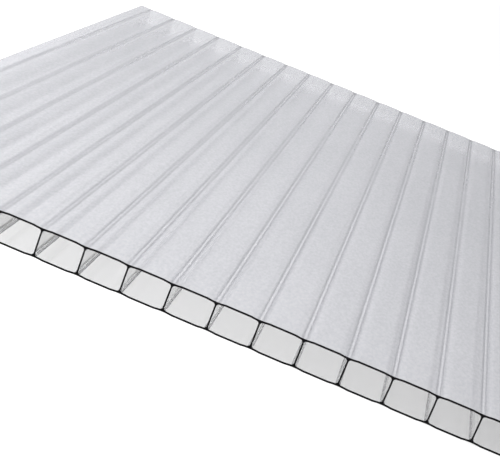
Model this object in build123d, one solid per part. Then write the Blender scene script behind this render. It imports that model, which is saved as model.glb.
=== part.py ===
"""A cut panel of clear twin-wall polycarbonate sheet, extruded as one piece.

Two thin skins are joined by a row of upright webs, which leave open flutes between them.
The flutes run along Y, from one sawn end to the other. X runs across them and Z is up.
The panel lies on its lower skin, with the origin under its middle, on the ground.
All sizes are in millimetres.
"""

import os

from build123d import *

# Panel
panel_width = 305.0  # across the flutes, between the two side cuts
panel_length = 305.0  # along the flutes, between the two sawn ends

# Section, which is the same at every point along the flutes
panel_depth = 8.0  # from the outside of one skin to the outside of the other
web_pitch = 11.0  # from the middle of one web to the middle of the next
skin_wall = 0.50  # thickness of the upper and the lower skin
web_wall = 0.42  # thickness of each web
flute_corner_radius = 0.60  # where a web runs into a skin, inside the flute

# Sink marks: each web draws both skins in a little as the extrusion cools. The skins keep
# their wall as they dip, so the flutes are lower beside a web than in the middle.
sink_width = 4.6  # of the shallow groove outside each web
sink_depth = 0.18  # of the same groove, at its middle

# The side cuts fall where they may among the webs, since the panel is cut from wide stock
left_cut_to_web = 4.5  # from the left side cut to the middle of the first web

# The stock's first and last webs lie outside the panel, so that each cut runs along a flute
# and leaves open fins, or along a web where one happens to stand there.
stock_pitches = int(panel_width // web_pitch) + 2
first_web = left_cut_to_web - panel_width / 2 - web_pitch
web_places = [first_web + step * web_pitch for step in range(stock_pitches + 1)]
flute_places = [(low + high) / 2 for low, high in zip(web_places, web_places[1:])]


def between_skin_lines(setback, webs):
    """The face between two skin lines, each set back that far from the outside of its skin.

    Both lines run straight from half a pitch outside the first web given to half a pitch
    outside the last one, but for a shallow arc towards the middle of the sheet at each web.
    """
    left, right = webs[0] - web_pitch / 2, webs[-1] + web_pitch / 2
    edges = [Line((across, setback), (across, panel_depth - setback)) for across in (left, right)]
    for height, inward in ((setback, 1), (panel_depth - setback, -1)):
        across = left
        for web in webs:
            start, end = web - sink_width / 2, web + sink_width / 2
            lowest = (web, height + inward * sink_depth)
            edges.append(Line((across, height), (start, height)))
            edges.append(ThreePointArc((start, height), lowest, (end, height)))
            across = end
        edges.append(Line((across, height), (right, height)))
    return Face(Wire(edges))


def flute_section():
    """One flute between two webs, with a soft corner where each web runs into a skin."""
    webs = (-web_pitch / 2, web_pitch / 2)
    space = Pos(0, panel_depth / 2) * Rectangle(web_pitch - web_wall, panel_depth)
    flute = space & between_skin_lines(skin_wall, webs)
    corners = [v for v in flute.vertices() if abs(v.X) > web_pitch / 2 - web_wall]
    return fillet(corners, flute_corner_radius)


def stock_section():
    """The wide sheet in section: the outline of both skins, less the flutes between webs."""
    outside = between_skin_lines(0, web_places).outer_wire()
    flute = flute_section()
    return Face(outside, [(Pos(across, 0) * flute).wire() for across in flute_places])


def panel_section():
    """The stock between the two side cuts."""
    between_cuts = Pos(0, panel_depth / 2) * Rectangle(panel_width, panel_depth)
    return between_cuts & stock_section()


def twin_wall_sheet():
    """The section drawn out along the flutes, the same length each side of the origin."""
    sawn_end = Plane((0, panel_length / 2, 0), x_dir=(1, 0, 0), z_dir=(0, -1, 0))
    return extrude(sawn_end * panel_section(), panel_length)


os.makedirs("parts", exist_ok=True)
sheet = twin_wall_sheet()
sheet.label = "twin_wall_sheet"
export_step(sheet, "parts/twin_wall_sheet.step")

print(f"{sheet.volume:.0f} mm3, {len(sheet.faces())} faces, valid {sheet.is_valid}")
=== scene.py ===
"""The looks of a cut panel of clear twin-wall polycarbonate sheet.

The panel is one extruded section: two thin skins, joined by upright webs. It is made by
one rule, built here from the section of a single web. X runs across the flutes, Y along
them and Z up. All sizes are in metres.
"""

import math

import bpy
from mathutils import Matrix, Vector


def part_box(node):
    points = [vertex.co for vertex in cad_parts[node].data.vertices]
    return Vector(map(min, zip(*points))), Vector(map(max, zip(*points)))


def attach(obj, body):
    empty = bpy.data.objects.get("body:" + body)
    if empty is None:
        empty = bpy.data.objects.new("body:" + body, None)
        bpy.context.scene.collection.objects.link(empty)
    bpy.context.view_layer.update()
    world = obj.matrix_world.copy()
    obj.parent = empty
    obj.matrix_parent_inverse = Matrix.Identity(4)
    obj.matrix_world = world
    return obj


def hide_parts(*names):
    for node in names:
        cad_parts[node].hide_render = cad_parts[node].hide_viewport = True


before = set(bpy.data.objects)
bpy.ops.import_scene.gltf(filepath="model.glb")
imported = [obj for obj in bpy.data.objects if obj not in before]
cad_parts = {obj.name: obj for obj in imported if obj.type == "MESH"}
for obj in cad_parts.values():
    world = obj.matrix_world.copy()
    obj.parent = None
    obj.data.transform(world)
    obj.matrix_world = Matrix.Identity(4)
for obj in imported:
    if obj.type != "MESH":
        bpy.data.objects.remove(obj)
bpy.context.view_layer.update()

MM = 0.001

# The panel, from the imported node
panel_low, panel_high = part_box("twin_wall_sheet")
panel_width, panel_length, panel_depth = panel_high - panel_low
panel_middle = (panel_low + panel_high) / 2

# The section of the extrusion
web_pitch = 11.0 * MM
skin_wall = 0.50 * MM
web_wall = 0.42 * MM
flute_corner_radius = 0.60 * MM
sink_width = 4.6 * MM
sink_depth = 0.18 * MM
left_cut_to_web = 4.5 * MM  # to the middle of the first web
web_count = int((panel_width - left_cut_to_web) // web_pitch) + 1

# What the die leaves: no two webs stand quite alike, and the skins are never quite flat.
# Each fault is read from noise, whose unit is a web pitch across the flutes.
web_wander = 0.30 * MM  # from the furthest lean to one side to the furthest to the other
web_wander_along = 2.4  # units of noise for each metre along the flutes
web_wander_up = 0.6  # units of noise from the middle of a web to its top
skin_bow = 0.04 * MM
skin_bow_along = 5.0  # units of noise for each metre along the flutes
lower_bow_level = 3  # where in the noise the lower skin is read
upper_bow_above = 5  # units of noise from there to where the upper skin is read
noise_middle = 0.5  # noise runs from 0 to 1
wander_seed = 7.0

# How finely the section is divided
corner_steps = 4  # round each soft corner
skin_steps = 8  # from a soft corner to the middle of the flute
skin_step_growth = 1.6  # a power: above 1, the steps are finer near the corner
web_steps = 4  # up each web
length_steps = 16  # along the flutes
weld_distance = 0.01 * MM
sharp_edge_angle = math.radians(50)

# The least part of a face's normal that lies along an axis, where the face looks along it
squarely = 0.7
mostly = 0.5


class Reading:
    """A value that a node tree works out. Maths on it adds the nodes that the maths needs."""

    def __init__(self, bench, socket):
        self.bench = bench
        self.socket = socket

    def __add__(self, other):
        return self.bench.maths("ADD", self, other)

    def __radd__(self, other):
        return self.bench.maths("ADD", other, self)

    def __sub__(self, other):
        return self.bench.maths("SUBTRACT", self, other)

    def __rsub__(self, other):
        return self.bench.maths("SUBTRACT", other, self)

    def __mul__(self, other):
        return self.bench.maths("MULTIPLY", self, other)

    def __rmul__(self, other):
        return self.bench.maths("MULTIPLY", other, self)

    def __truediv__(self, other):
        return self.bench.maths("DIVIDE", self, other)

    def __pow__(self, power):
        return self.bench.maths("POWER", self, power)

    def __abs__(self):
        return self.bench.maths("ABSOLUTE", self)

    def __gt__(self, other):
        return self.bench.maths("GREATER_THAN", self, other)

    def __lt__(self, other):
        return self.bench.maths("LESS_THAN", self, other)

    def output(self, name):
        """Another output of the same node."""
        return Reading(self.bench, find_socket(self.socket.node.outputs, name))


def find_socket(sockets, place):
    """A socket by its number, its identifier or its name, in that order."""
    if isinstance(place, int):
        return sockets[place]
    named = [s for s in sockets if s.identifier == place] or [s for s in sockets if s.name == place]
    return next((s for s in named if s.enabled), named[0])


class Bench:
    """Puts together one node tree, of a finish or of a rule for a shape."""

    def __init__(self, tree):
        self.tree = tree

    def add(self, kind, settings=None, inputs=None, output=0):
        """A node of a kind: its settings first, then a value or a link for each input."""
        node = self.tree.nodes.new(kind)
        for name, setting in (settings or {}).items():
            setattr(node, name, setting)
        for place, value in (inputs or {}).items():
            self.fill(find_socket(node.inputs, place), value)
        return Reading(self, find_socket(node.outputs, output)) if node.outputs else None

    def fill(self, socket, value):
        """Links a reading, or each reading of a list, to an input, or writes a plain value there."""
        if isinstance(value, Reading):
            self.tree.links.new(value.socket, socket)
        elif isinstance(value, list):
            for reading in value:
                self.tree.links.new(reading.socket, socket)
        else:
            socket.default_value = value

    def maths(self, operation, *values):
        return self.add("ShaderNodeMath", {"operation": operation}, dict(enumerate(values)))

    def smaller(self, a, b):
        return self.maths("MINIMUM", a, b)

    def larger(self, a, b):
        return self.maths("MAXIMUM", a, b)

    def limited(self, value):
        """A value kept from 0 to 1."""
        return self.smaller(self.larger(value, 0.0), 1.0)

    def point(self, x, y, z):
        return self.add("ShaderNodeCombineXYZ", None, {"X": x, "Y": y, "Z": z})

    def parts(self, vector):
        x = self.add("ShaderNodeSeparateXYZ", None, {"Vector": vector})
        return x, x.output("Y"), x.output("Z")

    def place(self):
        """Where each point of the mesh is, as its three parts, in a rule for a shape."""
        return self.parts(self.add("GeometryNodeInputPosition"))

    def surface_place(self):
        """Where each point of the surface is, as its three parts, in a finish.

        In the world, it is which way each ray goes.
        """
        return self.parts(self.add("ShaderNodeTexCoord", None, None, "Object"))

    def moved(self, mesh, x, y, z):
        """The mesh with each point put at that place."""
        return self.add("GeometryNodeSetPosition", None, {"Geometry": mesh, "Position": self.point(x, y, z)})

    def welded(self, meshes, distance):
        joined = self.add("GeometryNodeJoinGeometry", None, {"Geometry": meshes})
        return self.add("GeometryNodeMergeByDistance", None, {"Geometry": joined, "Distance": distance})

    def blended(self, share, under, over, blend="MIX"):
        """Two colours mixed, or blended in another way, by that share of the second."""
        return self.add("ShaderNodeMix", {"data_type": "RGBA", "blend_type": blend}, {
            "Factor_Float": share, "A_Color": under, "B_Color": over,
        }, "Result_Color")


# Shape


def skin_section(bench, sizes):
    """The upper skin over one web in section, with a soft corner on each side of the web.

    The strip's columns are numbered from the middle of the web: one to the side of the web,
    then those round the soft corner, then those out to the middle of the flute.
    """
    columns = 1 + corner_steps + skin_steps
    strip = bench.add("GeometryNodeMeshGrid", None, {
        "Size X": 2 * columns, "Size Y": 1, "Vertices X": 2 * columns + 1, "Vertices Y": 2,
    })
    across, row, _ = bench.place()
    column = abs(across)
    side = bench.maths("SIGN", across)
    corner = bench.limited((column - 1) / corner_steps) * math.radians(90)
    out_along_skin = bench.limited((column - 1 - corner_steps) / skin_steps) ** skin_step_growth
    radius = sizes["Corner Radius"]
    half_web = sizes["Web Wall"] / 2
    corner_reach = radius * (1 - bench.maths("COSINE", corner))
    skin_reach = (sizes["Web Pitch"] / 2 - half_web - radius) * out_along_skin
    reach = bench.smaller(column, 1) * half_web + corner_reach + skin_reach
    sink = bench.limited(1 - (reach / (sizes["Sink Width"] / 2)) ** 2) * sizes["Sink Depth"]
    outside = sizes["Depth"] / 2 - sink
    inside = outside - sizes["Skin Wall"] - radius * (1 - bench.maths("SINE", corner))
    height = inside + (row > 0) * (outside - inside)
    return bench.moved(strip, side * reach, 0, height)


def web_section(bench, sizes):
    """One web in section, between the soft corners of the upper and the lower skin."""
    upright = bench.add("GeometryNodeMeshGrid", None, {
        "Size X": 1, "Size Y": 1, "Vertices X": 3, "Vertices Y": web_steps + 1,
    })
    across, up, _ = bench.place()
    sink = (1 - (sizes["Web Wall"] / sizes["Sink Width"]) ** 2) * sizes["Sink Depth"]
    height = sizes["Depth"] - 2 * (sink + sizes["Skin Wall"] + sizes["Corner Radius"])
    return bench.moved(upright, across * sizes["Web Wall"], 0, up * height)


def whole_section(bench, sizes):
    """The section of the panel: one web and its share of both skins, repeated and welded.

    What reaches past a side cut is pressed flat on it, where the weld takes it away.
    """
    upper = skin_section(bench, sizes)
    lower = bench.add("GeometryNodeTransform", None, {
        "Geometry": upper, "Rotation": (0, math.radians(180), 0),
    })
    one_web = bench.welded([upper, lower, web_section(bench, sizes)], weld_distance)
    places = bench.add("GeometryNodeMeshLine", {"mode": "OFFSET"}, {
        "Count": sizes["Web Count"],
        "Start Location": bench.point(sizes["First Web"], 0, 0),
        "Offset": bench.point(sizes["Web Pitch"], 0, 0),
    })
    row = bench.add("GeometryNodeInstanceOnPoints", None, {"Points": places, "Instance": one_web})
    real = bench.add("GeometryNodeRealizeInstances", None, {"Geometry": row})
    across, _, up = bench.place()
    half_width = sizes["Panel Width"] / 2
    cut = bench.larger(bench.smaller(across, half_width), half_width * -1)
    return bench.welded([bench.moved(real, cut, 0, up)], weld_distance)


def drawn_out(bench, section, sizes):
    """The section carried along the flutes in even steps, and closed at the far end."""
    start = bench.add("GeometryNodeSetPosition", None, {
        "Geometry": section, "Offset": bench.point(0, sizes["Panel Length"] / 2, 0),
    })
    far_end = bench.add("GeometryNodeFlipFaces", None, {"Mesh": start})
    begin = bench.tree.nodes.new("GeometryNodeRepeatInput")
    finish = bench.tree.nodes.new("GeometryNodeRepeatOutput")
    begin.pair_with_output(finish)
    begin.inputs["Iterations"].default_value = length_steps
    bench.fill(begin.inputs["Geometry"], start)
    _, facing, _ = bench.parts(bench.add("GeometryNodeInputNormal"))
    step = sizes["Panel Length"] / length_steps
    longer = bench.add("GeometryNodeExtrudeMesh", {"mode": "FACES"}, {
        "Mesh": Reading(bench, begin.outputs["Geometry"]),
        "Selection": facing < -mostly,
        "Offset": bench.point(0, -1, 0),
        "Offset Scale": step,
        "Individual": False,
    })
    bench.fill(finish.inputs["Geometry"], longer)
    return bench.welded([Reading(bench, finish.outputs["Geometry"]), far_end], weld_distance)


def as_extruded(bench, panel, sizes):
    """The panel with the small faults of the real one: webs that lean, and skins that bow inwards."""
    across, along, up = bench.place()
    half = sizes["Depth"] / 2

    def fault(per_metre_along, level):
        where = bench.point(across / sizes["Web Pitch"], along * per_metre_along, level)
        return bench.add("ShaderNodeTexNoise", {"noise_dimensions": "4D"}, {
            "Vector": where, "W": sizes["Seed"], "Scale": 1.0, "Detail": 0.0,
        })

    upper = up > 0
    inside_panel = bench.limited((sizes["Panel Width"] / 2 - abs(across)) / sizes["Web Pitch"])
    leaning = fault(web_wander_along, up / half * web_wander_up) - noise_middle
    lean = leaning * inside_panel * sizes["Web Wander"]
    bow = fault(skin_bow_along, upper * upper_bow_above + lower_bow_level) * sizes["Skin Bow"]
    level = up - (up / half) * bow
    return bench.moved(panel, across + lean, along, level)


def finished(bench, panel, sizes):
    """Smooth along the flutes, sharp round the sawn ends, and each face with its finish."""
    smooth = bench.add("GeometryNodeSetShadeSmooth", None, {"Geometry": panel})
    bend = bench.add("GeometryNodeInputMeshEdgeAngle")
    sharp = bench.add(
        "GeometryNodeStoreNamedAttribute",
        {"data_type": "BOOLEAN", "domain": "EDGE"},
        {"Geometry": smooth, "Name": "sharp_edge", "Value": bend > sharp_edge_angle},
    )
    panel = bench.add("GeometryNodeRealizeInstances", None, {"Geometry": sharp})
    across, _, up = bench.place()
    sideways, along, _ = bench.parts(bench.add("GeometryNodeInputNormal"))
    cut_side = (abs(sideways) > squarely) * (abs(across) > sizes["Panel Width"] / 2 - weld_distance)
    where = {
        "Clear Finish": True,
        "Top Finish": up > sizes["Depth"] / 2 - sizes["Skin Wall"] / 2,
        "Web Finish": abs(sideways) > mostly,
        "Sawn Finish": bench.larger(abs(along) > squarely, cut_side),
    }
    for finish, faces in where.items():
        panel = bench.add("GeometryNodeSetMaterial", None, {
            "Geometry": panel, "Selection": faces, "Material": sizes[finish],
        })
    return panel


def panel_rule(values):
    """The node tree that makes the panel, with a named input for each of its sizes."""
    tree = bpy.data.node_groups.new("twin_wall_rule", "GeometryNodeTree")
    kinds = {int: "NodeSocketInt", float: "NodeSocketFloat", bpy.types.Material: "NodeSocketMaterial"}
    tree.interface.new_socket("Geometry", in_out="INPUT", socket_type="NodeSocketGeometry")
    tree.interface.new_socket("Geometry", in_out="OUTPUT", socket_type="NodeSocketGeometry")
    identifiers = {}
    for name, value in values.items():
        socket = tree.interface.new_socket(name, in_out="INPUT", socket_type=kinds[type(value)])
        identifiers[name] = socket.identifier
    bench = Bench(tree)
    given = tree.nodes.new("NodeGroupInput")
    sizes = {name: Reading(bench, given.outputs[name]) for name in values}
    panel = drawn_out(bench, whole_section(bench, sizes), sizes)
    panel = finished(bench, as_extruded(bench, panel, sizes), sizes)
    bench.add("NodeGroupOutput", None, {"Geometry": panel})
    return tree, identifiers


def make_panel(clear_finish, top_finish, web_finish, sawn_finish):
    """The panel as a plain mesh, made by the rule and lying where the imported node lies."""
    values = {
        "Web Count": web_count,
        "First Web": left_cut_to_web - panel_width / 2,
        "Web Pitch": web_pitch,
        "Panel Width": panel_width,
        "Panel Length": panel_length,
        "Depth": panel_depth,
        "Skin Wall": skin_wall,
        "Web Wall": web_wall,
        "Corner Radius": flute_corner_radius,
        "Sink Width": sink_width,
        "Sink Depth": sink_depth,
        "Web Wander": web_wander,
        "Skin Bow": skin_bow,
        "Seed": wander_seed,
        "Clear Finish": clear_finish,
        "Top Finish": top_finish,
        "Web Finish": web_finish,
        "Sawn Finish": sawn_finish,
    }
    tree, identifiers = panel_rule(values)
    blank = bpy.data.objects.new("blank", bpy.data.meshes.new("blank"))
    bpy.context.collection.objects.link(blank)
    modifier = blank.modifiers.new("rule", "NODES")
    modifier.node_group = tree
    for name, value in values.items():
        modifier[identifiers[name]] = value
    made = blank.evaluated_get(bpy.context.evaluated_depsgraph_get())
    mesh = bpy.data.meshes.new_from_object(made)
    bpy.data.objects.remove(blank)
    mesh.name = "twin_wall_panel"
    mesh.transform(Matrix.Translation(panel_middle))
    panel = bpy.data.objects.new("twin_wall_panel", mesh)
    bpy.context.collection.objects.link(panel)
    return panel


# Finishes

# The clear plastic. Each pair of tints gives the darker and the lighter end of its range.
polycarbonate_ior = 1.585
clear_tints = (0.825, 0.825, 0.825, 1), (0.845, 0.843, 0.845, 1)
web_tints = (0.98, 0.98, 0.98, 1), (0.99, 0.99, 0.99, 1)
top_tints = (0.722, 0.730, 0.758, 1), (0.922, 0.913, 0.946, 1)
full_clearness = 1.0
top_clearness = 0.56
polished_roughness = 0.01
top_roughness = 0.08

# How the tint varies. A size is across the flutes and then along them.
streak_detail = 2.0
cloud_size = 14 * MM, 40 * MM
cloud_share = 0.5
grain_size = 0.7 * MM, 1.5 * MM
grain_share = 1.3

# Draw lines
line_size = 0.5 * MM, 60 * MM
line_height = 0.02 * MM
line_relief = 0.25  # share of that height that shows
line_roughness = 0.05  # added along the lines
line_start = 0.4  # the noise from which that grows
line_gain = 2.0  # how fast it grows

# Painted shade on the sides of the webs: a matt share that grows towards the left
web_shade_start = 45 * MM  # to the left of the middle
web_shade_to_left = 2.8  # for each metre further to the left

# Painted shade that darkens the upper skin along the left cut, and a darkening near the far end
painted_shade_color = (0.82, 0.82, 0.83, 1)
cut_shade_width = 4.3 * MM
cut_shade_fade = 0.5 * MM
end_darkening_width = 24 * MM
end_darkening_fade = 6 * MM
end_darkening_share = 0.4

# The pair of lines of painted shade over each web, in the same colour
web_line_offset = 0.8 * MM  # from the middle of the web
web_line_width = 0.45 * MM  # to where each line has faded
web_line_share = 0.65
web_core_share = 0.75  # of the same, over the middle of the web

# Sawn ends
saw_mark_size = 0.2 * MM, 0.2 * MM
sawn_tints = (0.001, 0.001, 0.001, 1), (0.008, 0.008, 0.009, 1)
sawn_roughness = 0.5
sawn_gloss = 0.05


def new_finish(name):
    """An empty material, the bench for its nodes and its output node."""
    material = bpy.data.materials.new(name)
    material.use_nodes = True
    tree = material.node_tree
    tree.nodes.clear()
    return material, Bench(tree), tree.nodes.new("ShaderNodeOutputMaterial")


def streaks(bench, size):
    """Soft marks of that size across and along the flutes, on every face of the panel."""
    across_size, along_size = size
    x, y, z = bench.surface_place()
    where = bench.point(x / across_size, y / along_size, z / across_size)
    return bench.add("ShaderNodeTexNoise", None, {"Vector": where, "Scale": 1.0, "Detail": streak_detail})


def edge_darkening(bench):
    """1 along the left cut, where painted shade darkens the upper skin, and less near the far end, which is
    darker too; otherwise 0.
    """
    right, along, _ = bench.surface_place()
    at_cut = (panel_low.x + cut_shade_width - right) / cut_shade_fade
    at_end = (along - panel_high.y + end_darkening_width) / end_darkening_fade
    return bench.larger(bench.limited(at_cut), bench.limited(at_end) * end_darkening_share)


def web_lines(bench):
    """A pair of fine lines of painted shade over each web, where its soft corners turn the light away."""
    right, _, _ = bench.surface_place()
    webs_along = (right - panel_low.x - left_cut_to_web) / web_pitch
    from_web = abs(webs_along - bench.maths("ROUND", webs_along)) * web_pitch
    between = web_core_share + (1 - web_core_share) * (from_web / web_line_offset)
    outside = bench.limited((web_line_offset + web_line_width - from_web) / web_line_width)
    return bench.smaller(between, outside) * web_line_share


def drawn_plastic(name, tints, clearness, roughness, with_painted_shade=False, shaded_left=False):
    """Glossy and barely tinted, with fine draw lines. What isn't clear scatters the light."""
    material, bench, out = new_finish(name)
    lines = streaks(bench, line_size)
    cloud = streaks(bench, cloud_size)
    grain = streaks(bench, grain_size)
    change = (cloud - noise_middle) * cloud_share + (grain - noise_middle) * grain_share
    tint = bench.blended(bench.limited(noise_middle + change), *tints)
    # Painted shade along the left cut and over each web, and the darker far end.
    if with_painted_shade:
        painted_shade = bench.larger(edge_darkening(bench), web_lines(bench))
        tint = bench.blended(painted_shade, tint, painted_shade_color, "MULTIPLY")
    bump = bench.add("ShaderNodeBump", None, {
        "Strength": line_relief, "Distance": line_height, "Height": lines,
    })
    shader = bench.add("ShaderNodeBsdfPrincipled", None, {
        "Base Color": tint,
        "Roughness": roughness + line_roughness * bench.limited((lines - line_start) * line_gain),
        "IOR": polycarbonate_ior,
        "Transmission Weight": clearness,
        "Normal": bump,
    })
    # Painted shade: the sides of the webs turn matt, and so darker, towards the left.
    if shaded_left:
        right, _, _ = bench.surface_place()
        matt_shade = bench.add("ShaderNodeBsdfDiffuse", None, {"Color": tints[1]})
        share = bench.limited((web_shade_start + right) * -web_shade_to_left)
        shader = bench.add("ShaderNodeMixShader", None, {"Fac": share, 1: shader, 2: matt_shade})
    bench.fill(out.inputs["Surface"], shader)
    return material


def clear_polycarbonate():
    """The skins inside the flutes and the lower skin's outside, which stay clear."""
    return drawn_plastic("clear_polycarbonate", clear_tints, full_clearness, polished_roughness)


def web_side():
    """The sides of the webs, with a matt share that grows towards the left of the panel as painted shade."""
    return drawn_plastic("web_side", web_tints, full_clearness, polished_roughness, shaded_left=True)


def weather_face():
    """The outside of the upper skin, which its weather coat and handling leave a little cloudy, with painted
    shade along the left cut and over the webs.
    """
    return drawn_plastic("weather_face", top_tints, top_clearness, top_roughness, with_painted_shade=True)


def sawn_edge():
    """The sawn ends and side cuts, which look black because the clear walls lead the light away."""
    material, bench, out = new_finish("sawn_edge")
    marks = streaks(bench, saw_mark_size)
    shader = bench.add("ShaderNodeBsdfPrincipled", None, {
        "Base Color": bench.blended(marks, *sawn_tints),
        "Roughness": sawn_roughness,
        "Specular IOR Level": sawn_gloss,
    })
    bench.fill(out.inputs["Surface"], shader)
    return material


# Floor, light and camera

floor_gap = 0.05 * MM  # keeps the floor clear of the panel's lower face
floor_size = 60.0
floor_color = (0.82, 0.82, 0.82, 1)
floor_glow_color = (1, 1, 1, 1)
floor_glow = 1.45
floor_glow_share = 0.56  # of what is seen, under the middle of the panel
painted_floor_light_to_left = 2.3  # painted light: more glow than that for each metre to the left
floor_glow_least = 0.43
floor_glow_most = 0.85
studio_color = (0.955, 0.965, 1.0, 1)
studio_level = 0.60  # ahead, behind and overhead
studio_to_left = 0.9  # more than that straight to the left, and less by as much to the right
studio_least = 0.35
key_place = Vector((-0.20, -0.15, 0.30))
key_target = Vector((-0.05, 0.0, 0.0))
key_size = 0.5
key_strength = 1.0  # W
light_bounces = 128

# The photograph's camera, in the panel's own frame
camera_place = Vector((-26.4, -444.8, 119.7)) * MM
camera_heading = math.radians(4.136)  # to the left of the flutes
camera_dip = math.radians(17.747)  # below level
camera_roll = math.radians(21.439)
photo_width = 500  # pixels
focal_length = 1359.9  # pixels
sensor_width = 36.0  # mm
nearest_seen = 0.005
furthest_seen = 100.0


def seen_directly(bench):
    """1 for a camera ray and for a ray that a clear or glossy surface passes on, otherwise 0."""
    ray = bench.add("ShaderNodeLightPath", None, None, "Is Camera Ray")
    return bench.larger(ray, bench.larger(ray.output("Is Glossy Ray"), ray.output("Is Transmission Ray")))


def pale_floor():
    """White where it is seen, with painted light that glows more towards the left, and still pale enough to
    hold the panel's soft shadow.
    """
    material, bench, out = new_finish("pale_floor")
    matt = bench.add("ShaderNodeBsdfDiffuse", None, {"Color": floor_color})
    white = bench.add("ShaderNodeEmission", None, {"Color": floor_glow_color, "Strength": floor_glow})
    right, _, _ = bench.surface_place()
    # Painted light: the glow's share grows towards the left.
    share = bench.larger(floor_glow_share - painted_floor_light_to_left * right, floor_glow_least)
    share = bench.smaller(share, floor_glow_most)
    both = bench.add("ShaderNodeMixShader", None, {
        "Fac": seen_directly(bench) * share, 1: matt, 2: white,
    })
    bench.fill(out.inputs["Surface"], both)
    return material


def make_floor():
    """One large square just under the panel."""
    half = floor_size / 2
    mesh = bpy.data.meshes.new("floor")
    corners = [(-half, -half), (half, -half), (half, half), (-half, half)]
    mesh.from_pydata([(x, y, panel_low.z - floor_gap) for x, y in corners], [], [(0, 1, 2, 3)])
    mesh.materials.append(pale_floor())
    floor = bpy.data.objects.new("floor", mesh)
    bpy.context.collection.objects.link(floor)


def light_world():
    """A plain pale studio, softly brighter to the left."""
    world = bpy.data.worlds.new("studio")
    bpy.context.scene.world = world
    world.use_nodes = True
    world.node_tree.nodes.clear()
    bench = Bench(world.node_tree)
    right, _, _ = bench.surface_place()
    glow = bench.larger(studio_level - studio_to_left * right, studio_least)
    sky = bench.add("ShaderNodeBackground", None, {"Color": studio_color, "Strength": glow})
    bench.add("ShaderNodeOutputWorld", None, {"Surface": sky})


def add_key_light():
    """A soft square lamp above the near left of the panel."""
    data = bpy.data.lights.new("key", "AREA")
    data.shape = "SQUARE"
    data.size = key_size
    data.energy = key_strength
    key = bpy.data.objects.new("key", data)
    key.location = key_place
    key.rotation_euler = (key_target - key_place).to_track_quat("-Z", "Y").to_euler()
    bpy.context.collection.objects.link(key)


def make_camera():
    """The camera that takes the photograph's view."""
    data = bpy.data.cameras.new("camera")
    data.sensor_width = sensor_width
    data.lens = focal_length / photo_width * sensor_width
    data.clip_start = nearest_seen
    data.clip_end = furthest_seen
    camera = bpy.data.objects.new("camera", data)
    level = Matrix.Rotation(camera_heading, 4, "Z") @ Matrix.Rotation(math.radians(90) - camera_dip, 4, "X")
    camera.matrix_world = Matrix.Translation(camera_place) @ level @ Matrix.Rotation(camera_roll, 4, "Z")
    bpy.context.collection.objects.link(camera)
    bpy.context.scene.camera = camera


def follow_light():
    """Lets light pass through all the walls that a low view of the panel looks through."""
    cycles = bpy.context.scene.cycles
    cycles.max_bounces = light_bounces
    cycles.transmission_bounces = light_bounces
    cycles.glossy_bounces = light_bounces


panel = make_panel(clear_polycarbonate(), weather_face(), web_side(), sawn_edge())
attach(panel, "root")
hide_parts("twin_wall_sheet")

make_floor()
light_world()
add_key_light()
make_camera()
bpy.context.scene.view_settings.view_transform = "Standard"
follow_light()

print("panel:", len(panel.data.vertices), "points,", len(panel.data.polygons), "faces")
